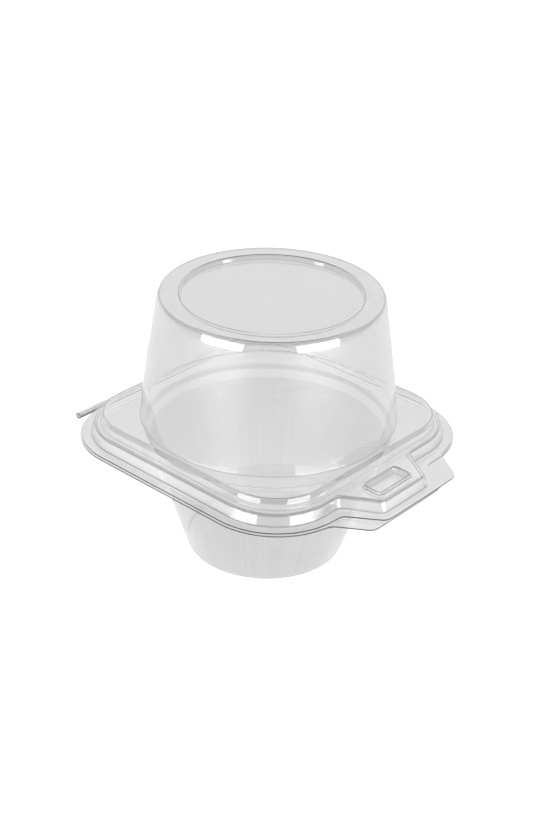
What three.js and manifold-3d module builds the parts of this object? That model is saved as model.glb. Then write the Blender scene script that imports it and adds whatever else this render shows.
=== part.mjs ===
import * as THREE from 'three';
import { mergeVertices } from 'three/addons/utils/BufferGeometryUtils.js';
import Module from 'manifold-3d';

// Clear clamshell box for one cupcake, formed from a single thin plastic sheet.
// A tapered cup with a square flange, a tall round lid with the same flange, and the fold between them.
// Millimetres, +Z up. The cup stands on z = 0, the clasp points to -Y and the fold runs along +Y.

// Sheet: every form below is given for the middle of its wall.
const SHEET = 0.4;
const FIT_GAP = 0.35;
const NEST = SHEET + FIT_GAP;

// Cup of the base
const CUP_FLOOR_R = 27.5;
const CUP_MOUTH_R = 40.5;
const CUP_FLOOR_ROUND = 1.3;
const CUP_MOUTH_ROUND = 1.8;

// Flange, shared by base and lid: a square with large round corners
const LIP_HALF = 51;
const CORNER_R = 24.7;
const LIP_WIDTH = 3.4;
const BASE_LIP_REACH = 0.6;
const LID_LIP_Z = 42.1;
const LIP_SPREAD = 1.1;
const RIM_RISE = 3.9;
const RIM_DRAFT = 0.3;
const RIM_ROUND = 1.1;
const FOOT_ROUND = 0.5;

// Raised inner step of the lid, which the dome stands on
const STEP_SETBACK = 2.3;
const STEP_LEAN = 1.5;
const STEP_RISE = 3.7;
const STEP_ROUND = 0.7;

// Dome
const DOME_FOOT_R = 42.3;
const DOME_BAND_RISE = 12.5;
const DOME_BAND_LEAN = 1.2;
const DOME_RISE = 42.9;
const DOME_TOP_R = 36;
const DOME_ROUND = 1.1;
const RECESS_R = 30;
const RECESS_DEPTH = 1.6;
const RECESS_DRAFT = 0.5;

// Clasp: a raised pad, a snap pocket in it, and two thin opening tabs that miss each other
const PAD = { front: 59.8, left: 20.4, right: 16.2, root: 47.6, lean: 30 };
const LID_TAB = { front: 62.8, left: 23.2, right: 27.8, root: 51, lean: 33 };
const BASE_TAB = { front: 62.8, left: 29.2, right: 19.5, root: 51, lean: 32 };
const PAD_BLEND = 1.4;
const TAB_BLEND = 1.2;
const POCKET_LENGTH = 16.4;
const POCKET_WIDTH = 7.4;
const POCKET_DEPTH = 2.1;
const POCKET_DRAFT = 0.9;
const POCKET_CORNER = 1.6;
const POCKET_X = -1.8;
const POCKET_Y = -51.7;

// Fold between the two lips
const FOLD_LENGTH = 75;
const FOLD_R = 0.85;
const FOLD_GAP = 0.3;

// Fineness of the facets
const FINE_STEP = 1.7;
const FINE_SPREAD = 32;
const COARSE_STEP = 5.2;
const ROUND_COUNT = 60;

// Heights and rings that follow from the sizes above
const BASE_LIP_Z = LID_LIP_Z - LIP_SPREAD;
const LID_RIM_Z = LID_LIP_Z + RIM_RISE;
const BASE_RIM_Z = LID_RIM_Z - NEST;
const STEP_Z = LID_RIM_Z + STEP_RISE;
const TOP_Z = STEP_Z + DOME_RISE;
const RIM_HALF = LIP_HALF - LIP_WIDTH;
const STEP_HALF = RIM_HALF - STEP_SETBACK;
const CUP_FLOOR_Z = SHEET / 2;

// How far each outline lies from the centre in the direction u

// Square with round corners, set in by a distance that keeps its corner centres
const square = (half, inset) => (u) => {
  const side = half - inset;
  const corner = CORNER_R + half - LIP_HALF - inset;
  const x = Math.abs(u.x);
  const y = Math.abs(u.y);
  const flat = side / Math.max(x, y);
  const centre = side - corner;
  if (Math.min(x, y) * flat <= centre) return flat;
  const along = centre * (x + y);
  return along + Math.sqrt(along * along - 2 * centre * centre + corner * corner);
};

const circle = (radius) => () => radius;

// Softened lower and higher of two values
const lower = (a, b, blend) => (a + b - Math.hypot(a - b, blend)) / 2;
const higher = (a, b, blend) => (a + b + Math.hypot(a - b, blend)) / 2;

// Tongue to -Y with a straight front and two leaning sides, set in by a distance
const tongue = (shape, blend, inset) => (u) => {
  if (u.y > -0.6) return 0;
  const lean = THREE.MathUtils.degToRad(shape.lean);
  const sideReach = (root, sign) => {
    const facing = sign * u.x * Math.cos(lean) - u.y * Math.sin(lean);
    const distance = root * Math.cos(lean) + shape.root * Math.sin(lean) - inset;
    return distance / Math.max(facing, 0.05);
  };
  const front = (shape.front - inset) / -u.y;
  const sides = Math.min(sideReach(shape.left, -1), sideReach(shape.right, 1));
  return lower(front, sides, blend);
};

const joined = (body, arm, blend) => (u) => {
  const reach = arm(u);
  return reach > 0 ? higher(body(u), reach, blend) : body(u);
};

const rim = (inset) => joined(square(RIM_HALF, inset), tongue(PAD, PAD_BLEND, inset), PAD_BLEND);
const lidLip = joined(square(LIP_HALF, 0), tongue(LID_TAB, TAB_BLEND, 0), TAB_BLEND);
const baseLip = joined(
  square(LIP_HALF, -BASE_LIP_REACH),
  tongue(BASE_TAB, TAB_BLEND, 0),
  TAB_BLEND,
);

// Directions round the part: close together at the clasp, wider apart elsewhere
const direction = (degrees) => {
  const turn = THREE.MathUtils.degToRad(degrees);
  return { turn, x: Math.cos(turn), y: Math.sin(turn) };
};

const spread = (from, to, step) => {
  const count = Math.ceil((to - from) / step);
  return Array.from({ length: count }, (_, i) => direction(from + ((to - from) * i) / count));
};

const flangeDirections = [
  ...spread(-90 - FINE_SPREAD, -90 + FINE_SPREAD, FINE_STEP),
  ...spread(-90 + FINE_SPREAD, 270 - FINE_SPREAD, COARSE_STEP),
];
const roundDirections = spread(-90 - FINE_SPREAD, 270 - FINE_SPREAD, 360 / ROUND_COUNT);

// A formed sheet: stations from the trimmed edge to the centre, walled to both sides of its middle.
// Each station is an outline and its height, and side is the sign of the wall's outward face.
function formedSheet(stations) {
  const positions = [];
  const triangles = [];

  const placed = (k, u, side) => {
    const at = (i) => new THREE.Vector2(stations[i].reach(u), stations[i].z);
    const here = at(k);
    const last = stations.length - 1;
    const inward = k < last ? at(k + 1).sub(here) : new THREE.Vector2(-1, 0);
    const before = k > 0 ? here.clone().sub(at(k - 1)) : inward.clone();
    const normal = (run) => new THREE.Vector2(run.y, -run.x).normalize();
    const mitre = normal(inward).add(normal(before)).normalize();
    const stretch = Math.max(mitre.dot(normal(inward)), 0.6);
    return here.addScaledVector(mitre, (side * SHEET) / 2 / stretch);
  };

  const ring = (k, side) => {
    const directions = stations[k].round ? roundDirections : flangeDirections;
    return directions.map((u) => {
      const point = placed(k, u, side);
      positions.push(point.x * u.x, point.x * u.y, point.y);
      return { turn: u.turn, index: positions.length / 3 - 1 };
    });
  };

  const triangle = (a, b, c, flip) => triangles.push(...(flip ? [a, c, b] : [a, b, c]));

  // Strip between an outer and an inner ring, which may have different counts
  const strip = (outer, inner, flip) => {
    let i = 0;
    let j = 0;
    while (i < outer.length || j < inner.length) {
      const a = outer[i % outer.length];
      const b = inner[j % inner.length];
      const nextA = outer[(i + 1) % outer.length];
      const nextB = inner[(j + 1) % inner.length];
      const turnA = i < outer.length ? outer[i].turn : Infinity;
      const turnB = j < inner.length ? inner[j].turn : Infinity;
      if (turnA <= turnB) {
        triangle(a.index, nextA.index, b.index, flip);
        i += 1;
      } else {
        triangle(a.index, nextB.index, b.index, flip);
        j += 1;
      }
    }
  };

  const face = (side) => {
    const flip = side < 0;
    const rings = stations.map((_, k) => ring(k, side));
    rings.slice(1).forEach((inner, k) => strip(rings[k], inner, flip));
    const last = rings[rings.length - 1];
    const centreZ = stations[stations.length - 1].z + (side * SHEET) / 2;
    positions.push(0, 0, centreZ);
    const centre = positions.length / 3 - 1;
    last.forEach((p, i) => triangle(p.index, last[(i + 1) % last.length].index, centre, flip));
    return rings[0];
  };

  const upperEdge = face(1);
  const lowerEdge = face(-1);
  upperEdge.forEach((p, i) => {
    const next = (i + 1) % upperEdge.length;
    triangle(lowerEdge[i].index, lowerEdge[next].index, upperEdge[next].index, false);
    triangle(lowerEdge[i].index, upperEdge[next].index, p.index, false);
  });
  return { positions, triangles };
}

// Tapered plug with round corners, from its top height down to its floor
function plug(grow, topZ, floorZ, draftPerDepth, fromZ) {
  const level = (z) => {
    const narrow = (fromZ - z) * draftPerDepth;
    const halfX = POCKET_LENGTH / 2 + grow - narrow;
    const halfY = POCKET_WIDTH / 2 + grow - narrow;
    const r = POCKET_CORNER;
    const shape = new THREE.Shape();
    shape.absarc(halfX - r, halfY - r, r, 0, Math.PI / 2, false);
    shape.absarc(-halfX + r, halfY - r, r, Math.PI / 2, Math.PI, false);
    shape.absarc(-halfX + r, -halfY + r, r, Math.PI, Math.PI * 1.5, false);
    shape.absarc(halfX - r, -halfY + r, r, Math.PI * 1.5, Math.PI * 2, false);
    return shape.getPoints(4).filter((p, i, all) => i === 0 || p.distanceTo(all[i - 1]) > 1e-4);
  };
  const floor = level(floorZ);
  const top = level(topZ);
  const same = floor[0].distanceTo(floor[floor.length - 1]) < 1e-4 ? 1 : 0;
  const count = floor.length - same;
  const positions = [];
  const push = (p, z) => positions.push(p.x + POCKET_X, p.y + POCKET_Y, z);
  for (let i = 0; i < count; i += 1) push(floor[i], floorZ);
  for (let i = 0; i < count; i += 1) push(top[i], topZ);
  push(new THREE.Vector2(0, 0), floorZ);
  push(new THREE.Vector2(0, 0), topZ);
  const triangles = [];
  for (let i = 0; i < count; i += 1) {
    const j = (i + 1) % count;
    triangles.push(i, j, count + j, i, count + j, count + i);
    triangles.push(2 * count, j, i, 2 * count + 1, count + i, count + j);
  }
  return { positions, triangles };
}

// Solids for cutting and joining
const wasm = await Module();
wasm.setup();

function geometryOf({ positions, triangles }) {
  const geometry = new THREE.BufferGeometry();
  geometry.setAttribute('position', new THREE.Float32BufferAttribute(positions, 3));
  geometry.setIndex(triangles);
  return geometry;
}

function solid(geometry) {
  const bare = geometry.clone();
  bare.deleteAttribute('normal');
  bare.deleteAttribute('uv');
  const merged = mergeVertices(bare, 1e-4);
  const vertProperties = new Float32Array(merged.attributes.position.array);
  const triVerts = new Uint32Array(merged.index.array);
  return new wasm.Manifold(new wasm.Mesh({ numProp: 3, vertProperties, triVerts }));
}

function toGeometry(manifold) {
  const mesh = manifold.getMesh();
  const geometry = new THREE.BufferGeometry();
  const points = [];
  for (let i = 0; i < mesh.vertProperties.length; i += mesh.numProp) {
    points.push(...mesh.vertProperties.slice(i, i + 3));
  }
  geometry.setAttribute('position', new THREE.Float32BufferAttribute(points, 3));
  geometry.setIndex(Array.from(mesh.triVerts));
  return geometry;
}

// Sinks the snap pocket into a sheet whose pad lies at rimZ, grown to nest under the one above
function withPocket(sheet, rimZ, grow) {
  const draft = POCKET_DRAFT / POCKET_DEPTH;
  const half = SHEET / 2;
  const floorZ = rimZ - POCKET_DEPTH;
  const outside = plug(grow + half, rimZ, floorZ - half, draft, rimZ);
  const inside = plug(grow - half, rimZ + SHEET, floorZ + half, draft, rimZ);
  return solid(sheet).add(solid(geometryOf(outside))).subtract(solid(geometryOf(inside)));
}

// Lid: flange, clasp pad, inner step, dome and the shallow stacking recess in its top
function lidStations() {
  const bandTopZ = STEP_Z + DOME_BAND_RISE;
  const flange = [
    { reach: lidLip, z: LID_LIP_Z },
    { reach: rim(-FOOT_ROUND), z: LID_LIP_Z },
    { reach: rim(0), z: LID_LIP_Z + FOOT_ROUND },
    { reach: rim(RIM_DRAFT), z: LID_RIM_Z - RIM_ROUND },
    { reach: rim(RIM_DRAFT + RIM_ROUND * 0.3), z: LID_RIM_Z - RIM_ROUND * 0.3 },
    { reach: rim(RIM_DRAFT + RIM_ROUND), z: LID_RIM_Z },
  ];
  const step = [
    { reach: square(STEP_HALF, -STEP_ROUND), z: LID_RIM_Z },
    { reach: square(STEP_HALF, 0), z: LID_RIM_Z + STEP_ROUND },
    { reach: square(STEP_HALF, STEP_LEAN), z: STEP_Z - STEP_ROUND },
    { reach: square(STEP_HALF, STEP_LEAN + STEP_ROUND * 0.4), z: STEP_Z - STEP_ROUND * 0.2 },
    { reach: square(STEP_HALF, STEP_LEAN + STEP_ROUND), z: STEP_Z },
  ].map((s) => ({ ...s, round: true }));
  const dome = [
    { reach: circle(DOME_FOOT_R + 0.3), z: STEP_Z + 0.05 },
    { reach: circle(DOME_FOOT_R), z: STEP_Z + FOOT_ROUND },
    { reach: circle(DOME_FOOT_R - DOME_BAND_LEAN / 2), z: STEP_Z + DOME_BAND_RISE / 2 },
    { reach: circle(DOME_FOOT_R - DOME_BAND_LEAN), z: bandTopZ },
    { reach: circle(DOME_TOP_R), z: TOP_Z - DOME_ROUND },
    { reach: circle(DOME_TOP_R - DOME_ROUND * 0.35), z: TOP_Z - DOME_ROUND * 0.35 },
    { reach: circle(DOME_TOP_R - DOME_ROUND), z: TOP_Z },
    { reach: circle(RECESS_R + RECESS_DRAFT), z: TOP_Z },
    { reach: circle(RECESS_R), z: TOP_Z - RECESS_DEPTH / 3 },
    { reach: circle(RECESS_R - RECESS_DRAFT), z: TOP_Z - RECESS_DEPTH + RECESS_DRAFT / 2 },
    { reach: circle(RECESS_R - 2 * RECESS_DRAFT), z: TOP_Z - RECESS_DEPTH },
  ].map((s) => ({ ...s, round: true }));
  return [...flange, ...step, ...dome];
}

// Base: the same flange, nested under the lid's, and the tapered cup
function baseStations() {
  const flange = [
    { reach: baseLip, z: BASE_LIP_Z },
    { reach: rim(NEST - FOOT_ROUND), z: BASE_LIP_Z },
    { reach: rim(NEST), z: BASE_LIP_Z + FOOT_ROUND },
    { reach: rim(NEST + RIM_DRAFT), z: BASE_RIM_Z - RIM_ROUND },
    { reach: rim(NEST + RIM_DRAFT + RIM_ROUND * 0.3), z: BASE_RIM_Z - RIM_ROUND * 0.3 },
    { reach: rim(NEST + RIM_DRAFT + RIM_ROUND), z: BASE_RIM_Z },
  ];
  const floorEdge = CUP_FLOOR_R - CUP_FLOOR_ROUND;
  const cup = [
    { reach: circle(CUP_MOUTH_R + CUP_MOUTH_ROUND), z: BASE_RIM_Z },
    { reach: circle(CUP_MOUTH_R + CUP_MOUTH_ROUND * 0.35), z: BASE_RIM_Z - CUP_MOUTH_ROUND * 0.35 },
    { reach: circle(CUP_MOUTH_R), z: BASE_RIM_Z - CUP_MOUTH_ROUND },
    { reach: circle(CUP_FLOOR_R), z: CUP_FLOOR_Z + CUP_FLOOR_ROUND },
    { reach: circle(floorEdge + CUP_FLOOR_ROUND * 0.65), z: CUP_FLOOR_Z + CUP_FLOOR_ROUND * 0.35 },
    { reach: circle(floorEdge), z: CUP_FLOOR_Z },
  ].map((s) => ({ ...s, round: true }));
  return [...flange, ...cup];
}

// Fold: the sheet rolled into an open loop that joins the back edges of the two lips
function foldGeometry() {
  const half = SHEET / 2;
  const centreY = LIP_HALF + BASE_LIP_REACH + FOLD_GAP + FOLD_R - SHEET / 4;
  const centreZ = (LID_LIP_Z + BASE_LIP_Z) / 2;
  const rise = LIP_SPREAD / 2;
  const outer = FOLD_R + half;
  const inner = FOLD_R - half;
  const outerEnd = Math.PI - Math.asin((rise + half) / outer);
  const innerEnd = Math.PI - Math.asin((rise - half) / inner);
  const section = new THREE.Shape();
  section.moveTo(LIP_HALF + FOLD_GAP, LID_LIP_Z + half);
  section.absarc(centreY, centreZ, outer, outerEnd, -outerEnd, true);
  section.absarc(centreY, centreZ, inner, -innerEnd, innerEnd, false);
  section.lineTo(LIP_HALF + FOLD_GAP, LID_LIP_Z - half);
  section.closePath();
  const geometry = new THREE.ExtrudeGeometry(section, {
    depth: FOLD_LENGTH,
    bevelEnabled: false,
    curveSegments: 14,
  });
  geometry.rotateX(Math.PI / 2);
  geometry.rotateZ(Math.PI / 2);
  geometry.translate(-FOLD_LENGTH / 2, 0, 0);
  return geometry;
}

// Clear plastic
const clearSheet = () =>
  new THREE.MeshStandardMaterial({
    color: 0xe4e7e8,
    roughness: 0.08,
    metalness: 0,
    transparent: true,
    opacity: 0.35,
  });

function named(name, geometry) {
  const mesh = new THREE.Mesh(geometry, clearSheet());
  mesh.name = name;
  return mesh;
}

const baseSheet = geometryOf(formedSheet(baseStations()));
const lidSheet = geometryOf(formedSheet(lidStations()));

const box = new THREE.Group();
box.add(named('base', toGeometry(withPocket(baseSheet, BASE_RIM_Z, NEST))));
box.add(named('lid', toGeometry(withPocket(lidSheet, LID_RIM_Z, 0))));
box.add(named('fold', foldGeometry()));

export default box;
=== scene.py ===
import math

import bmesh
import bpy
from mathutils import Matrix, Vector


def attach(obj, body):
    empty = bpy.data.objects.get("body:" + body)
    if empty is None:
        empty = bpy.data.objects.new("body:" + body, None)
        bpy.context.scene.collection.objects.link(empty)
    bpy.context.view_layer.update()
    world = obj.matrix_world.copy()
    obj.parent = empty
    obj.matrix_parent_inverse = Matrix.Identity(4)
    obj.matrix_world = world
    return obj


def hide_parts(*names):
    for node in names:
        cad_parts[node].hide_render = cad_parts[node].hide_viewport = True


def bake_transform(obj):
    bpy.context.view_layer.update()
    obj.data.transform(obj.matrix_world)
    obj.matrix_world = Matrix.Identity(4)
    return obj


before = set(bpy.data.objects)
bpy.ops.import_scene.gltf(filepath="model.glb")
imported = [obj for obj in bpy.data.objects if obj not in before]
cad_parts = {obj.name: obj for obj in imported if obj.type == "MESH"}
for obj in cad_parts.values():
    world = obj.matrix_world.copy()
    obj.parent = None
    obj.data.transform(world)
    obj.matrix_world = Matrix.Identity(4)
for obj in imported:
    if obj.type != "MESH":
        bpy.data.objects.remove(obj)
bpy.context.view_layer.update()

# Lid.
# The upper half of the box, pressed from one clear sheet: a flange whose rim snaps over the base,
# a clasp pad with its pocket, a raised step, and the tall dome with a shallow recess in its top.
MM = 0.001
SHEET = 0.4 * MM
LIP_HALF = 51 * MM
CORNER_CENTRE = 26.3 * MM
RIM_HALF = 47.6 * MM
RIM_DRAFT = 17
RIM_FOOT_ROUND = 0.8 * MM
RIM_TOP_ROUND = 0.9 * MM
LID_LIP_Z = 42.1 * MM
LID_RIM_Z = 46 * MM
STEP_TOP_HALF = 43.25 * MM
STEP_RISE = 3.7 * MM
STEP_STEEP = 83
STEP_TOP_STEEP = 66
STEP_FOOT_ROUND = 0.5 * MM
STEP_SIDE_ROUND = 0.8 * MM
STEP_SIDE_STEPS = 3
STEP_SLOPE_RISE = 1.2 * MM
STEP_TOP_ROUND = 0.5 * MM
STEP_Z = LID_RIM_Z + STEP_RISE
DOME_FOOT_R = 42.3 * MM
DOME_BAND_RISE = 10.5 * MM
DOME_BAND_STEEP = 84.3
DOME_STEEP = 81.2
DOME_RISE = 42.9 * MM
DOME_FOOT_ROUND = 0.6 * MM
DOME_WAIST_ROUND = 60 * MM
DOME_WAIST_STEPS = 4
DOME_SHOULDER_ROUND = 10 * MM
DOME_SHOULDER_STEEP = 64
DOME_SHOULDER_STEPS = 8
DOME_TOP_ROUND = 0.6 * MM
RECESS_R = 30.3 * MM
RECESS_DEPTH = 1.6 * MM
RECESS_DRAFT = 22
RECESS_TOP_ROUND = 0.45 * MM
RECESS_FLOOR_ROUND = 0.5 * MM
PAD = {"front": 59.8 * MM, "left": 20.4 * MM, "right": 16.2 * MM, "root": 47.6 * MM, "lean": 30}
LID_TAB = {"front": 62.8 * MM, "left": 23.2 * MM, "right": 27.8 * MM, "root": 51 * MM, "lean": 33}
TONGUE_BLEND = 1.3 * MM
CLASP_SIDE = 0.6
LEAST_FACING = 0.05
POCKET_LENGTH = 16.4 * MM
POCKET_WIDTH = 7.4 * MM
POCKET_CORNER = 1.8 * MM
POCKET_DEPTH = 2.1 * MM
POCKET_DRAFT = 22
POCKET_TOP_ROUND = 0.4 * MM
POCKET_FLOOR_ROUND = 0.5 * MM
POCKET_PLACE = (-1.8 * MM, -51.7 * MM)
POCKET_CORNER_CUTS = 10
EASE = 0.06 * MM
FLAT_END = 0.04
BEND_STEPS = 6
POINTS_ROUND = 240
CLASP_SPREAD = 34
CLASP_CUTS = 4
WELD = 0.0005 * MM
LEVEL = 0.001 * MM
SHARP_FROM = 32


def square_reach(half):
    """Distance from the centre to a square with round corners, in the direction u."""
    corner = half - CORNER_CENTRE

    def reach(u):
        x, y = abs(u.x), abs(u.y)
        flat = half / max(x, y)
        if min(x, y) * flat <= CORNER_CENTRE:
            return flat
        along = CORNER_CENTRE * (x + y)
        return along + math.sqrt(along**2 - 2 * CORNER_CENTRE**2 + corner**2)

    return reach


def with_tongue(body, shape, grow=0.0):
    """The body's outline with a tongue on the clasp side, the corners where they meet softened."""
    lean = math.radians(shape["lean"])

    def side(u, root, sign):
        facing = sign * u.x * math.cos(lean) - u.y * math.sin(lean)
        distance = root * math.cos(lean) + shape["root"] * math.sin(lean) + grow
        return distance / max(facing, LEAST_FACING)

    def reach(u):
        if u.y > -CLASP_SIDE:
            return body(u)
        front = (shape["front"] + grow) / -u.y
        sides = min(side(u, shape["left"], -1), side(u, shape["right"], 1))
        arm = (front + sides - math.hypot(front - sides, TONGUE_BLEND)) / 2
        inner = body(u)
        return (inner + arm + math.hypot(inner - arm, TONGUE_BLEND)) / 2

    return reach


def rim_reach(grow):
    return with_tongue(square_reach(RIM_HALF + grow), PAD, grow)


def round_reach(radius):
    return lambda u: radius


def bend(radius, start, end, count=BEND_STEPS):
    """Steps (run inward, rise) along an arc whose steepness goes from start to end degrees."""
    turns = [math.radians(start + (end - start) * k / count) for k in range(count + 1)]
    return [
        (radius * abs(math.sin(b) - math.sin(a)), radius * abs(math.cos(b) - math.cos(a)))
        for a, b in zip(turns, turns[1:])
    ]


def straight(rise, steep):
    """A straight run at a steepness, with a short step at each end to keep it flat."""
    run = rise / math.tan(math.radians(steep))
    parts = (FLAT_END, 1 - 2 * FLAT_END, FLAT_END)
    return [(run * part, rise * part) for part in parts]


def wall(rise, draft, foot, top):
    """From flat, round a foot, up a leaning wall and round its top. A negative rise sinks."""
    steep = 90 - draft
    arcs = (foot + top) * (1 - math.cos(math.radians(steep)))
    climb = straight(abs(rise) - arcs, steep)
    steps = [(EASE, 0), *bend(foot, 0, steep), *climb, *bend(top, steep, 0), (EASE, 0)]
    return [(run, math.copysign(lift, rise)) for run, lift in steps]


def run_of(steps):
    return sum(run for run, _ in steps)


def start_piece():
    """Leaves object mode and deselects all, ready for a new primitive."""
    if bpy.context.mode != "OBJECT":
        bpy.ops.object.mode_set(mode="OBJECT")
    bpy.ops.object.select_all(action="DESELECT")


def place_ring(piece, reach, z):
    """Puts the selected ring of points on an outline at height z."""
    mesh = bmesh.from_edit_mesh(piece.data)
    for vertex in mesh.verts:
        if vertex.select:
            u = Vector((vertex.co.x, vertex.co.y)).normalized()
            distance = reach(u)
            vertex.co = (u.x * distance, u.y * distance, z)
    bmesh.update_edit_mesh(piece.data)


def loft(rings):
    """A skin drawn inward through rings (outline, height). The last ring stays selected."""
    start_piece()
    bpy.ops.mesh.primitive_circle_add(vertices=POINTS_ROUND, radius=LIP_HALF)
    piece = bpy.context.object
    bpy.ops.object.mode_set(mode="EDIT")
    bpy.ops.mesh.select_all(action="DESELECT")
    mesh = bmesh.from_edit_mesh(piece.data)
    for edge in mesh.edges:
        middle = (edge.verts[0].co + edge.verts[1].co) / 2
        off_clasp = math.degrees(math.atan2(middle.x, -middle.y))
        edge.select_set(abs(off_clasp) < CLASP_SPREAD)
    bmesh.update_edit_mesh(piece.data)
    bpy.ops.mesh.subdivide(number_cuts=CLASP_CUTS)
    bpy.ops.mesh.select_all(action="SELECT")
    place_ring(piece, *rings[0])
    for ring in rings[1:]:
        bpy.ops.mesh.extrude_region_move()
        place_ring(piece, *ring)
    return piece


def rings_along(outline, grow, z, steps):
    """The rings of a profile that starts on outline(grow) at height z and follows the steps."""
    rings = [(outline(grow), z)]
    for run, rise in steps:
        grow -= run
        z += rise
        rings.append((outline(grow), z))
    return rings


def press(steps):
    """Presses the selected face in by (run inward, rise) steps."""
    for run, rise in steps:
        bpy.ops.mesh.inset(thickness=run, depth=rise, use_even_offset=True)


def pocket(grow, z):
    """The snap pocket: a small tapered tray with round corners, sunk from height z."""
    start_piece()
    bpy.ops.mesh.primitive_plane_add(size=1)
    piece = bpy.context.object
    bpy.ops.object.mode_set(mode="EDIT")
    bpy.ops.mesh.select_all(action="SELECT")
    size = (POCKET_LENGTH + 2 * grow, POCKET_WIDTH + 2 * grow, 1)
    bpy.ops.transform.resize(value=size)
    bpy.ops.transform.translate(value=(*POCKET_PLACE, z))
    corner = POCKET_CORNER + grow
    bpy.ops.mesh.bevel(offset=corner, segments=POCKET_CORNER_CUTS, affect="VERTICES")
    bpy.ops.mesh.select_all(action="SELECT")
    press(wall(-POCKET_DEPTH, POCKET_DRAFT, POCKET_TOP_ROUND, POCKET_FLOOR_ROUND))
    return piece


def joined(name, parts):
    """Joins the pressed parts into one object."""
    start_piece()
    for part in parts:
        part.select_set(True)
    bpy.context.view_layer.objects.active = parts[0]
    bpy.ops.object.join()
    piece = bpy.context.object
    piece.name = name
    piece.data.name = name
    bpy.ops.object.mode_set(mode="EDIT")
    return piece


def close_flat(piece, z):
    """Closes the flat between the open edges that lie at height z."""
    bpy.ops.mesh.select_all(action="DESELECT")
    mesh = bmesh.from_edit_mesh(piece.data)
    for edge in mesh.edges:
        level = all(abs(vertex.co.z - z) < LEVEL for vertex in edge.verts)
        edge.select_set(level and len(edge.link_faces) < 2)
    bmesh.update_edit_mesh(piece.data)
    bpy.ops.mesh.fill(use_beauty=True)


def thicken(piece, materials):
    """Gives the pressed skin its wall, half to each side, with the cut edge as its own surface."""
    bpy.ops.mesh.select_all(action="SELECT")
    bpy.ops.mesh.remove_doubles(threshold=WELD)
    bpy.ops.mesh.normals_make_consistent(inside=False)
    bpy.ops.object.mode_set(mode="OBJECT")
    for material in materials:
        piece.data.materials.append(material)
    solidify = piece.modifiers.new("wall", "SOLIDIFY")
    solidify.thickness = SHEET
    solidify.offset = 0
    solidify.use_even_offset = True
    solidify.use_quality_normals = True
    solidify.material_offset_rim = 1
    bpy.ops.object.modifier_apply(modifier="wall")
    bpy.ops.object.shade_smooth_by_angle(angle=math.radians(SHARP_FROM))


CLOUD_SCALE = 38
CLOUD_DETAIL = 3
WAVE_SCALE = 75
WAVE_DETAIL = 1.5
STREAK_SCALE = 60
STREAK_DETAIL = 2
STREAK_TURN = 0.4
STREAK_LOW = 0.3
STREAK_HIGH = 0.7
STREAK_SHADE = 0.955
# Where the painted bend shade falls: the slope of the face, and how far from it the shade reaches
# and ends.
BEND_SLOPE = 0.66
BEND_REACH = 0.24
BEND_END = 0.32


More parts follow.
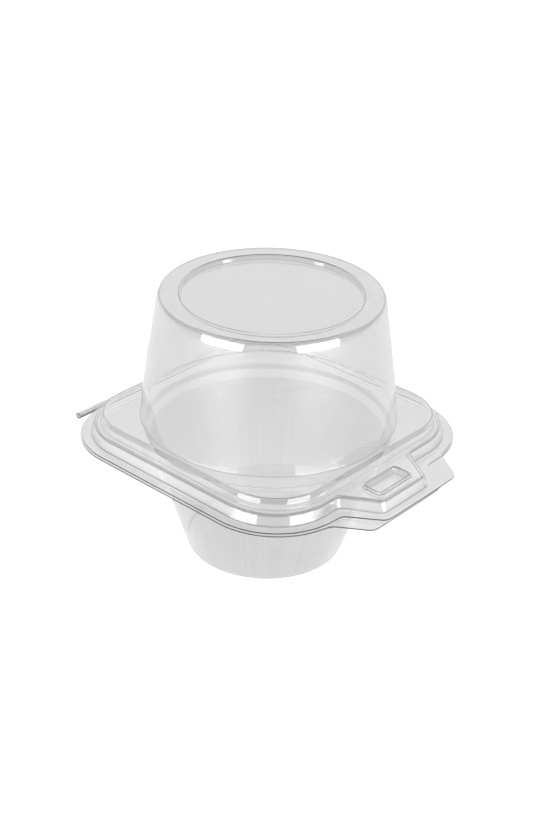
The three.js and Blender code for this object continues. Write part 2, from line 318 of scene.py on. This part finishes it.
def film_group():
    """Formed film: cloudiness, waves, painted shade on sloping bends, and painted shade with
    streaks below a given height, as a tint, a roughness and a normal."""
    group = bpy.data.node_groups.new("formed_film", "ShaderNodeTree")
    sockets = group.interface
    for name, kind in (
        ("Clear", "NodeSocketColor"),
        ("Cloudy", "NodeSocketColor"),
        ("Cup Shade", "NodeSocketColor"),
        ("Bend Shade", "NodeSocketColor"),
        ("Shade Below", "NodeSocketFloat"),
        ("Wave Height", "NodeSocketFloat"),
        ("Least Roughness", "NodeSocketFloat"),
        ("Most Roughness", "NodeSocketFloat"),
    ):
        sockets.new_socket(name, in_out="INPUT", socket_type=kind)
    for name, kind in (
        ("Tint", "NodeSocketColor"),
        ("Roughness", "NodeSocketFloat"),
        ("Normal", "NodeSocketVector"),
    ):
        sockets.new_socket(name, in_out="OUTPUT", socket_type=kind)
    nodes, links = group.nodes, group.links
    given = nodes.new("NodeGroupInput")
    result = nodes.new("NodeGroupOutput")
    place = nodes.new("ShaderNodeTexCoord")
    cloud = nodes.new("ShaderNodeTexNoise")
    cloud.inputs["Scale"].default_value = CLOUD_SCALE
    cloud.inputs["Detail"].default_value = CLOUD_DETAIL
    wave = nodes.new("ShaderNodeTexNoise")
    wave.inputs["Scale"].default_value = WAVE_SCALE
    wave.inputs["Detail"].default_value = WAVE_DETAIL
    tint = nodes.new("ShaderNodeMix")
    tint.data_type = "RGBA"
    rough = nodes.new("ShaderNodeMapRange")
    bump = nodes.new("ShaderNodeBump")
    bump.inputs["Strength"].default_value = 1
    links.new(place.outputs["Object"], cloud.inputs["Vector"])
    links.new(place.outputs["Object"], wave.inputs["Vector"])
    links.new(cloud.outputs["Fac"], tint.inputs["Factor"])
    links.new(given.outputs["Clear"], tint.inputs["A"])
    links.new(given.outputs["Cloudy"], tint.inputs["B"])
    flat = nodes.new("ShaderNodeVectorMath")
    flat.operation = "MULTIPLY"
    flat.inputs[1].default_value = (1, 1, 0)
    around = nodes.new("ShaderNodeVectorMath")
    around.operation = "NORMALIZE"
    lengthways = nodes.new("ShaderNodeVectorMath")
    lengthways.operation = "MULTIPLY_ADD"
    lengthways.inputs[1].default_value = (0, 0, STREAK_TURN)
    streak = nodes.new("ShaderNodeTexNoise")
    streak.inputs["Scale"].default_value = STREAK_SCALE
    streak.inputs["Detail"].default_value = STREAK_DETAIL
    streaks = nodes.new("ShaderNodeMapRange")
    streaks.inputs["From Min"].default_value = STREAK_LOW
    streaks.inputs["From Max"].default_value = STREAK_HIGH
    streaks.inputs["To Min"].default_value = STREAK_SHADE
    streaked = nodes.new("ShaderNodeMix")
    streaked.data_type = "RGBA"
    streaked.blend_type = "MULTIPLY"
    streaked.inputs["Factor"].default_value = 1
    links.new(place.outputs["Object"], flat.inputs[0])
    links.new(flat.outputs["Vector"], around.inputs[0])
    links.new(place.outputs["Object"], lengthways.inputs[0])
    links.new(around.outputs["Vector"], lengthways.inputs[2])
    links.new(lengthways.outputs["Vector"], streak.inputs["Vector"])
    links.new(streak.outputs["Fac"], streaks.inputs["Value"])
    links.new(given.outputs["Cup Shade"], streaked.inputs["A"])
    links.new(streaks.outputs["Result"], streaked.inputs["B"])
    # Painted shade: below the given height the tint turns to the darker cup colour with streaks.
    # It stands in for the box's shadow on the table, seen through the cup.
    height = nodes.new("ShaderNodeSeparateXYZ")
    below_shade_line = nodes.new("ShaderNodeMath")
    below_shade_line.operation = "LESS_THAN"
    deep = nodes.new("ShaderNodeMix")
    deep.data_type = "RGBA"
    links.new(place.outputs["Object"], height.inputs["Vector"])
    links.new(height.outputs["Z"], below_shade_line.inputs[0])
    links.new(given.outputs["Shade Below"], below_shade_line.inputs[1])
    links.new(below_shade_line.outputs["Value"], deep.inputs["Factor"])
    links.new(tint.outputs["Result"], deep.inputs["A"])
    links.new(streaked.outputs["Result"], deep.inputs["B"])
    # Painted shade: faces that slope part way between level and upright, as on the rounded bends,
    # take the darker bend colour. It stands in for the dim room that such bends reflect.
    upright = nodes.new("ShaderNodeSeparateXYZ")
    level = nodes.new("ShaderNodeMath")
    level.operation = "ABSOLUTE"
    off_bend = nodes.new("ShaderNodeMath")
    off_bend.operation = "SUBTRACT"
    off_bend.inputs[1].default_value = BEND_SLOPE
    from_bend = nodes.new("ShaderNodeMath")
    from_bend.operation = "ABSOLUTE"
    bend_shade_mask = nodes.new("ShaderNodeMapRange")
    bend_shade_mask.inputs["From Min"].default_value = BEND_REACH
    bend_shade_mask.inputs["From Max"].default_value = BEND_END
    bend_shade_mask.inputs["To Min"].default_value = 1
    bend_shade_mask.inputs["To Max"].default_value = 0
    bend_shaded = nodes.new("ShaderNodeMix")
    bend_shaded.data_type = "RGBA"
    bend_shaded.blend_type = "MULTIPLY"
    links.new(place.outputs["Normal"], upright.inputs["Vector"])
    links.new(upright.outputs["Z"], level.inputs[0])
    links.new(level.outputs["Value"], off_bend.inputs[0])
    links.new(off_bend.outputs["Value"], from_bend.inputs[0])
    links.new(from_bend.outputs["Value"], bend_shade_mask.inputs["Value"])
    links.new(bend_shade_mask.outputs["Result"], bend_shaded.inputs["Factor"])
    links.new(deep.outputs["Result"], bend_shaded.inputs["A"])
    links.new(given.outputs["Bend Shade"], bend_shaded.inputs["B"])
    links.new(bend_shaded.outputs["Result"], result.inputs["Tint"])
    links.new(cloud.outputs["Fac"], rough.inputs["Value"])
    links.new(given.outputs["Least Roughness"], rough.inputs["To Min"])
    links.new(given.outputs["Most Roughness"], rough.inputs["To Max"])
    links.new(rough.outputs["Result"], result.inputs["Roughness"])
    links.new(wave.outputs["Fac"], bump.inputs["Height"])
    links.new(given.outputs["Wave Height"], bump.inputs["Distance"])
    links.new(bump.outputs["Normal"], result.inputs["Normal"])
    return group


formed_film = film_group()
PLASTIC_IOR = 1.57
CLEAR_TINT = (0.996, 0.996, 0.997, 1)
CLOUDY_TINT = (0.98, 0.98, 0.981, 1)
# Painted shade for the cup below the lip.
CUP_SHADE_TINT = (0.885, 0.885, 0.886, 1)
# Painted shade on the sloping bends.
BEND_SHADE_TINT = (0.8, 0.8, 0.802, 1)
SHADOW_TINT = (0.885, 0.885, 0.886, 1)
SHEET_ROUGHNESS = (0.02, 0.08)
WAVE_HEIGHT = 0.03 * MM
# Painted shade: the lid's cut edge passes almost no light. It stands in for the dark lines that
# light bent and trapped in a clear edge gives.
EDGE_PAINTED_SHADE = (0.03, 0.03, 0.03, 1)
EDGE_PAINTED_SHADE_CLOUDY = (0.01, 0.01, 0.01, 1)
EDGE_SHADOW = (0.4, 0.4, 0.4, 1)
EDGE_ROUGHNESS = (0.25, 0.4)
NOWHERE = -1


def film_material(name, clear, cloudy, waves, shadow, rough, shade_below=NOWHERE):
    """Clear plastic that lets lamp light through to what lies below."""
    material = bpy.data.materials.new(name)
    material.use_nodes = True
    nodes, links = material.node_tree.nodes, material.node_tree.links
    shader = nodes["Principled BSDF"]
    shader.inputs["IOR"].default_value = PLASTIC_IOR
    shader.inputs["Transmission Weight"].default_value = 1
    film = nodes.new("ShaderNodeGroup")
    film.node_tree = formed_film
    film.inputs["Clear"].default_value = clear
    film.inputs["Cloudy"].default_value = cloudy
    film.inputs["Cup Shade"].default_value = CUP_SHADE_TINT
    film.inputs["Bend Shade"].default_value = BEND_SHADE_TINT
    film.inputs["Shade Below"].default_value = shade_below
    film.inputs["Wave Height"].default_value = waves
    film.inputs["Least Roughness"].default_value = rough[0]
    film.inputs["Most Roughness"].default_value = rough[1]
    links.new(film.outputs["Tint"], shader.inputs["Base Color"])
    links.new(film.outputs["Roughness"], shader.inputs["Roughness"])
    links.new(film.outputs["Normal"], shader.inputs["Normal"])
    path = nodes.new("ShaderNodeLightPath")
    passing = nodes.new("ShaderNodeBsdfTransparent")
    passing.inputs["Color"].default_value = shadow
    either = nodes.new("ShaderNodeMixShader")
    links.new(path.outputs["Is Shadow Ray"], either.inputs["Fac"])
    links.new(shader.outputs["BSDF"], either.inputs[1])
    links.new(passing.outputs["BSDF"], either.inputs[2])
    links.new(either.outputs["Shader"], nodes["Material Output"].inputs["Surface"])
    return material


clear_sheet = film_material(
    "clear_sheet", CLEAR_TINT, CLOUDY_TINT, WAVE_HEIGHT, SHADOW_TINT, SHEET_ROUGHNESS
)
# The cut edge is tinted almost black, as painted shade.
cut_edge = film_material("cut_edge", EDGE_PAINTED_SHADE, EDGE_PAINTED_SHADE_CLOUDY, 0, EDGE_SHADOW, EDGE_ROUGHNESS)

rim_steps = wall(LID_RIM_Z - LID_LIP_Z, RIM_DRAFT, RIM_FOOT_ROUND, RIM_TOP_ROUND)
rim_foot = EASE + run_of(bend(RIM_FOOT_ROUND, 0, 90 - RIM_DRAFT))
lid_edge = with_tongue(square_reach(LIP_HALF), LID_TAB)
flange_rings = [(lid_edge, LID_LIP_Z), *rings_along(rim_reach, rim_foot, LID_LIP_Z, rim_steps)]
lid_flange = loft(flange_rings)

step_foot_arc = bend(STEP_FOOT_ROUND, 0, STEP_STEEP)
step_shoulder = [
    *bend(STEP_SIDE_ROUND, STEP_STEEP, STEP_TOP_STEEP, STEP_SIDE_STEPS),
    *straight(STEP_SLOPE_RISE, STEP_TOP_STEEP),
    *bend(STEP_TOP_ROUND, STEP_TOP_STEEP, 0),
]
step_wall_rise = STEP_RISE - sum(rise for _, rise in step_foot_arc + step_shoulder)
step_wall = straight(step_wall_rise, STEP_STEEP)
step_steps = [(EASE, 0), *step_foot_arc, *step_wall, *step_shoulder, (EASE, 0)]
step_foot = STEP_TOP_HALF + run_of(step_steps)
dome_foot = [(EASE, 0), *bend(DOME_FOOT_ROUND, 0, DOME_BAND_STEEP)]
dome_band = straight(DOME_BAND_RISE, DOME_BAND_STEEP)
dome_waist = bend(DOME_WAIST_ROUND, DOME_BAND_STEEP, DOME_STEEP, DOME_WAIST_STEPS)
dome_shoulder = [
    *bend(DOME_SHOULDER_ROUND, DOME_STEEP, DOME_SHOULDER_STEEP, DOME_SHOULDER_STEPS),
    *bend(DOME_TOP_ROUND, DOME_SHOULDER_STEEP, 0),
]
dome_parts = [*dome_foot, *dome_band, *dome_waist, *dome_shoulder]
dome_wall = straight(DOME_RISE - sum(rise for _, rise in dome_parts), DOME_STEEP)
dome_steps = [*dome_foot, *dome_band, *dome_waist, *dome_wall, *dome_shoulder, (EASE, 0)]
dome_start_r = DOME_FOOT_R + run_of(dome_foot)
dome_top_r = dome_start_r - run_of(dome_steps)
recess_steps = [
    (dome_top_r - RECESS_R, 0),
    *wall(-RECESS_DEPTH, RECESS_DRAFT, RECESS_TOP_ROUND, RECESS_FLOOR_ROUND),
]
dome_rings = rings_along(round_reach, dome_start_r, STEP_Z, dome_steps + recess_steps)
lid_crown = loft(rings_along(square_reach, step_foot, LID_RIM_Z, step_steps) + dome_rings)
bpy.ops.mesh.edge_face_add()

lid_pocket = pocket(0, LID_RIM_Z)
lid_piece = joined("lid_shell", [lid_flange, lid_crown, lid_pocket])
close_flat(lid_piece, LID_RIM_Z)
thicken(lid_piece, [clear_sheet, cut_edge])
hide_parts("lid")
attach(lid_piece, "lid")

# Base.
# The lower half, pressed from the same sheet: the tapered cup that holds the cake, and a flange
# whose rim and pocket nest under the lid's, with an opening tab beside the lid's tab.
NEST = 0.75 * MM
BASE_LIP_Z = 41.4 * MM
BASE_LIP_HALF = 51.5 * MM
BASE_TAB = {"front": 62.8 * MM, "left": 29.2 * MM, "right": 19.5 * MM, "root": 51 * MM, "lean": 32}
BASE_RIM_Z = LID_RIM_Z - NEST
CUP_DRAFT = 17.3
CUP_MOUTH_R = 42.45 * MM
CUP_MOUTH_ROUND = 1.8 * MM
CUP_FLOOR_ROUND = 1.3 * MM
# Painted shade, lighter: the base's and the fold's cut edges pass about a third of the light, for
# the same dark edge lines.
PALE_EDGE_PAINTED_SHADE = (0.34, 0.34, 0.341, 1)
PALE_EDGE_PAINTED_SHADE_CLOUDY = (0.26, 0.26, 0.261, 1)

base_edge = with_tongue(square_reach(BASE_LIP_HALF), BASE_TAB)
base_rim_steps = wall(BASE_RIM_Z - BASE_LIP_Z, RIM_DRAFT, RIM_FOOT_ROUND, RIM_TOP_ROUND)
base_rim_rings = rings_along(rim_reach, rim_foot - NEST, BASE_LIP_Z, base_rim_steps)
base_flange = loft([(base_edge, BASE_LIP_Z), *base_rim_rings])

cup_steps = wall(SHEET / 2 - BASE_RIM_Z, CUP_DRAFT, CUP_MOUTH_ROUND, CUP_FLOOR_ROUND)
cup = loft(rings_along(round_reach, CUP_MOUTH_R, BASE_RIM_Z, cup_steps))
bpy.ops.mesh.edge_face_add()

base_pocket = pocket(NEST, BASE_RIM_Z)
base_piece = joined("base_shell", [base_flange, cup, base_pocket])
close_flat(base_piece, BASE_RIM_Z)
# The cup below the lip is painted darker, as shade.
clear_cup = film_material(
    "clear_cup",
    CLEAR_TINT,
    CLOUDY_TINT,
    WAVE_HEIGHT,
    SHADOW_TINT,
    SHEET_ROUGHNESS,
    shade_below=BASE_LIP_Z - SHEET,
)
pale_edge = film_material(
    "base_cut_edge", PALE_EDGE_PAINTED_SHADE, PALE_EDGE_PAINTED_SHADE_CLOUDY, 0, EDGE_SHADOW, EDGE_ROUGHNESS
)
thicken(base_piece, [clear_cup, pale_edge])
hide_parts("base")
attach(base_piece, "base")

# Fold.
# The strip of the same sheet along the back that joins the two lips. It rolled over when the box
# was shut, so it stands out as a small open bead.
FOLD_LENGTH = 75 * MM
FOLD_R = 0.85 * MM
FOLD_Y = 52.65 * MM
FOLD_Z = 41.55 * MM
FOLD_SIDES = 36
FOLD_RUNS = 60
LIP_TOUCH = 0.03 * MM

start_piece()
bpy.ops.mesh.primitive_circle_add(vertices=FOLD_SIDES, radius=FOLD_R)
fold_piece = bpy.context.object
fold_piece.name = "fold_strip"
fold_piece.data.name = "fold_strip"
bpy.ops.object.mode_set(mode="EDIT")
bpy.ops.mesh.select_all(action="DESELECT")
loop = bmesh.from_edit_mesh(fold_piece.data)
for vertex in loop.verts:
    along, up = vertex.co.x, vertex.co.y
    inside_gap = BASE_LIP_Z < FOLD_Z + up < LID_LIP_Z and along < 0
    vertex.co = (-FOLD_LENGTH / 2, FOLD_Y + along, FOLD_Z + up)
    vertex.select_set(inside_gap)
loop.select_flush_mode()
bmesh.update_edit_mesh(fold_piece.data)
bpy.ops.mesh.delete(type="VERT")
for lip_edge, lip_z in ((LIP_HALF, LID_LIP_Z), (BASE_LIP_HALF, BASE_LIP_Z)):
    bpy.ops.mesh.select_all(action="DESELECT")
    loop = bmesh.from_edit_mesh(fold_piece.data)
    ends = [v for v in loop.verts if len(v.link_edges) == 1]
    end = min(ends, key=lambda v: abs(v.co.z - lip_z))
    place = end.co.copy()
    end.select_set(True)
    loop.select_flush_mode()
    bmesh.update_edit_mesh(fold_piece.data)
    reach_back = (0, lip_edge + LIP_TOUCH - place.y, lip_z - place.z)
    bpy.ops.mesh.extrude_region_move(TRANSFORM_OT_translate={"value": reach_back})
bpy.ops.mesh.select_all(action="SELECT")
for _ in range(FOLD_RUNS):
    step_along = (FOLD_LENGTH / FOLD_RUNS, 0, 0)
    bpy.ops.mesh.extrude_region_move(TRANSFORM_OT_translate={"value": step_along})
thicken(fold_piece, [clear_sheet, pale_edge])
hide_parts("fold")
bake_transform(fold_piece)

# Table.
# A plain white top that the box stands on. It glows softly, more so away from the box, which
# keeps the box's shadow on it, and it shows a little dimmer through the plastic.
TABLE_SIZE = 14
TABLE_WHITE = (0.5, 0.5, 0.5, 1)
TABLE_ROUGHNESS = 0.9
TABLE_GLOSS = 0.1
POOL_INNER = 0.06
POOL_OUTER = 0.35
GLOW_NEAR = 0.72
GLOW_FAR = 0.98
GLOW_THROUGH_PLASTIC = 0.5
start_piece()
bpy.ops.mesh.primitive_plane_add(size=TABLE_SIZE)
table = bpy.context.object
table.name = "table"
table_white = bpy.data.materials.new("table_white")
table_white.use_nodes = True
nodes, links = table_white.node_tree.nodes, table_white.node_tree.links
shader = nodes["Principled BSDF"]
shader.inputs["Base Color"].default_value = TABLE_WHITE
shader.inputs["Roughness"].default_value = TABLE_ROUGHNESS
shader.inputs["Specular IOR Level"].default_value = TABLE_GLOSS
shader.inputs["Emission Color"].default_value = (1, 1, 1, 1)
path = nodes.new("ShaderNodeLightPath")
in_plastic = nodes.new("ShaderNodeMath")
in_plastic.operation = "MAXIMUM"
dimmed = nodes.new("ShaderNodeMath")
dimmed.operation = "MULTIPLY"
through = nodes.new("ShaderNodeMath")
through.operation = "MULTIPLY_ADD"
through.inputs[1].default_value = GLOW_THROUGH_PLASTIC - 1
through.inputs[2].default_value = 1
links.new(path.outputs["Is Transmission Ray"], through.inputs[0])
links.new(through.outputs["Value"], dimmed.inputs[1])
seen = nodes.new("ShaderNodeMath")
seen.operation = "MAXIMUM"
glow = nodes.new("ShaderNodeMath")
glow.operation = "MULTIPLY"
place = nodes.new("ShaderNodeTexCoord")
from_box = nodes.new("ShaderNodeVectorMath")
from_box.operation = "LENGTH"
spread_out = nodes.new("ShaderNodeMapRange")
spread_out.inputs["From Min"].default_value = POOL_INNER
spread_out.inputs["From Max"].default_value = POOL_OUTER
spread_out.inputs["To Min"].default_value = GLOW_NEAR
spread_out.inputs["To Max"].default_value = GLOW_FAR
links.new(place.outputs["Object"], from_box.inputs[0])
links.new(from_box.outputs["Value"], spread_out.inputs["Value"])
links.new(spread_out.outputs["Result"], glow.inputs[1])
links.new(path.outputs["Is Glossy Ray"], in_plastic.inputs[0])
links.new(path.outputs["Is Transmission Ray"], in_plastic.inputs[1])
links.new(in_plastic.outputs["Value"], dimmed.inputs[0])
links.new(path.outputs["Is Camera Ray"], seen.inputs[0])
links.new(dimmed.outputs["Value"], seen.inputs[1])
links.new(seen.outputs["Value"], glow.inputs[0])
links.new(glow.outputs["Value"], shader.inputs["Emission Strength"])
table.data.materials.append(table_white)

# Light.
# A pale wall on the far side of the box, a dim room on the near side, and two upright softboxes
# in front of it. Seen straight on, the backdrop is white.
CAMERA_TURN = -49.173
WALL_ACROSS = 0.9
WALL_UP = 0.44
WALL_STARTS = 0.35
WALL_FULL = 0.9
WALL_LIGHT = (0.96, 0.96, 0.962, 1)
BACKDROP_IN_PLASTIC = (0.855, 0.855, 0.856, 1)
ROOM_LIGHT = (0.07, 0.07, 0.071, 1)
room = bpy.data.worlds.new("room")
bpy.context.scene.world = room
room.use_nodes = True
nodes, links = room.node_tree.nodes, room.node_tree.links
sky = nodes["Background"]
look = nodes.new("ShaderNodeTexCoord")
behind = nodes.new("ShaderNodeVectorMath")
behind.operation = "DOT_PRODUCT"
away = math.radians(CAMERA_TURN)
behind.inputs[1].default_value = (
    -math.sin(away) * WALL_ACROSS,
    math.cos(away) * WALL_ACROSS,
    WALL_UP,
)
fade = nodes.new("ShaderNodeMapRange")
fade.interpolation_type = "SMOOTHSTEP"
fade.inputs["From Min"].default_value = WALL_STARTS
fade.inputs["From Max"].default_value = WALL_FULL
walls = nodes.new("ShaderNodeMix")
walls.data_type = "RGBA"
walls.inputs["A"].default_value = ROOM_LIGHT
walls.inputs["B"].default_value = WALL_LIGHT
links.new(look.outputs["Generated"], behind.inputs[0])
links.new(behind.outputs["Value"], fade.inputs["Value"])
links.new(fade.outputs["Result"], walls.inputs["Factor"])
seen_white = nodes.new("ShaderNodeMix")
seen_white.data_type = "RGBA"
seen_white.inputs["B"].default_value = (1, 1, 1, 1)
through_white = nodes.new("ShaderNodeMix")
through_white.data_type = "RGBA"
through_white.inputs["B"].default_value = BACKDROP_IN_PLASTIC
ray = nodes.new("ShaderNodeLightPath")
links.new(ray.outputs["Is Transmission Ray"], through_white.inputs["Factor"])
links.new(walls.outputs["Result"], through_white.inputs["A"])
links.new(ray.outputs["Is Camera Ray"], seen_white.inputs["Factor"])
links.new(through_white.outputs["Result"], seen_white.inputs["A"])
links.new(seen_white.outputs["Result"], sky.inputs["Color"])

SOFTBOX_TURN = 45
SOFTBOX_DISTANCE = 0.6
SOFTBOX_HEIGHT = 0.135
SOFTBOX_SIZE = (0.46, 0.28)
SOFTBOX_POWER = 3.2
SOFTBOX_AIM = Vector((0, 0, 0.05))


def softbox(name, turn):
    """An upright area lamp that faces the box."""
    lamp = bpy.data.lights.new(name, "AREA")
    lamp.shape = "RECTANGLE"
    lamp.size, lamp.size_y = SOFTBOX_SIZE
    lamp.energy = SOFTBOX_POWER
    holder = bpy.data.objects.new(name, lamp)
    bpy.context.collection.objects.link(holder)
    angle = math.radians(turn)
    holder.location = (
        SOFTBOX_DISTANCE * math.sin(angle),
        -SOFTBOX_DISTANCE * math.cos(angle),
        SOFTBOX_HEIGHT,
    )
    holder.rotation_euler = (SOFTBOX_AIM - holder.location).to_track_quat("-Z", "Y").to_euler()
    holder.visible_camera = False
    holder.visible_transmission = False


softbox("softbox_left", CAMERA_TURN - SOFTBOX_TURN)
softbox("softbox_right", CAMERA_TURN + SOFTBOX_TURN)

# Camera.
# The place, tilt and lens that the photograph was taken with, solved from the box's own outlines.
CAMERA_TILT = 29.424
CAMERA_ROLL = 1.916
CAMERA_DISTANCE = 487.142 * MM
CAMERA_AIM_HEIGHT = 48.798 * MM
CAMERA_SIDESTEP = 2.162 * MM
LENS = 63.9
NEAREST = 0.01
FARTHEST = 30
PLASTIC_BOUNCES = 40
GLOSS_BOUNCES = 12
SHADOW_LAYERS = 64
turn, tilt, roll = (math.radians(angle) for angle in (CAMERA_TURN, CAMERA_TILT, CAMERA_ROLL))
back = Vector((math.sin(turn) * math.cos(tilt), -math.cos(turn) * math.cos(tilt), math.sin(tilt)))
right = Vector((math.cos(turn), math.sin(turn), 0))
up = back.cross(right)
place = right * CAMERA_SIDESTEP + Vector((0, 0, CAMERA_AIM_HEIGHT)) + back * CAMERA_DISTANCE
right, up = (
    right * math.cos(roll) + up * math.sin(roll),
    up * math.cos(roll) - right * math.sin(roll),
)
lens = bpy.data.cameras.new("camera")
lens.lens = LENS
lens.clip_start = NEAREST
lens.clip_end = FARTHEST
camera = bpy.data.objects.new("camera", lens)
bpy.context.collection.objects.link(camera)
camera.matrix_world = Matrix(
    (
        (right.x, up.x, back.x, place.x),
        (right.y, up.y, back.y, place.y),
        (right.z, up.z, back.z, place.z),
        (0, 0, 0, 1),
    )
)
scene = bpy.context.scene
scene.camera = camera
scene.view_settings.view_transform = "Standard"
scene.cycles.max_bounces = PLASTIC_BOUNCES
scene.cycles.transmission_bounces = PLASTIC_BOUNCES
scene.cycles.glossy_bounces = GLOSS_BOUNCES
scene.cycles.transparent_max_bounces = SHADOW_LAYERS
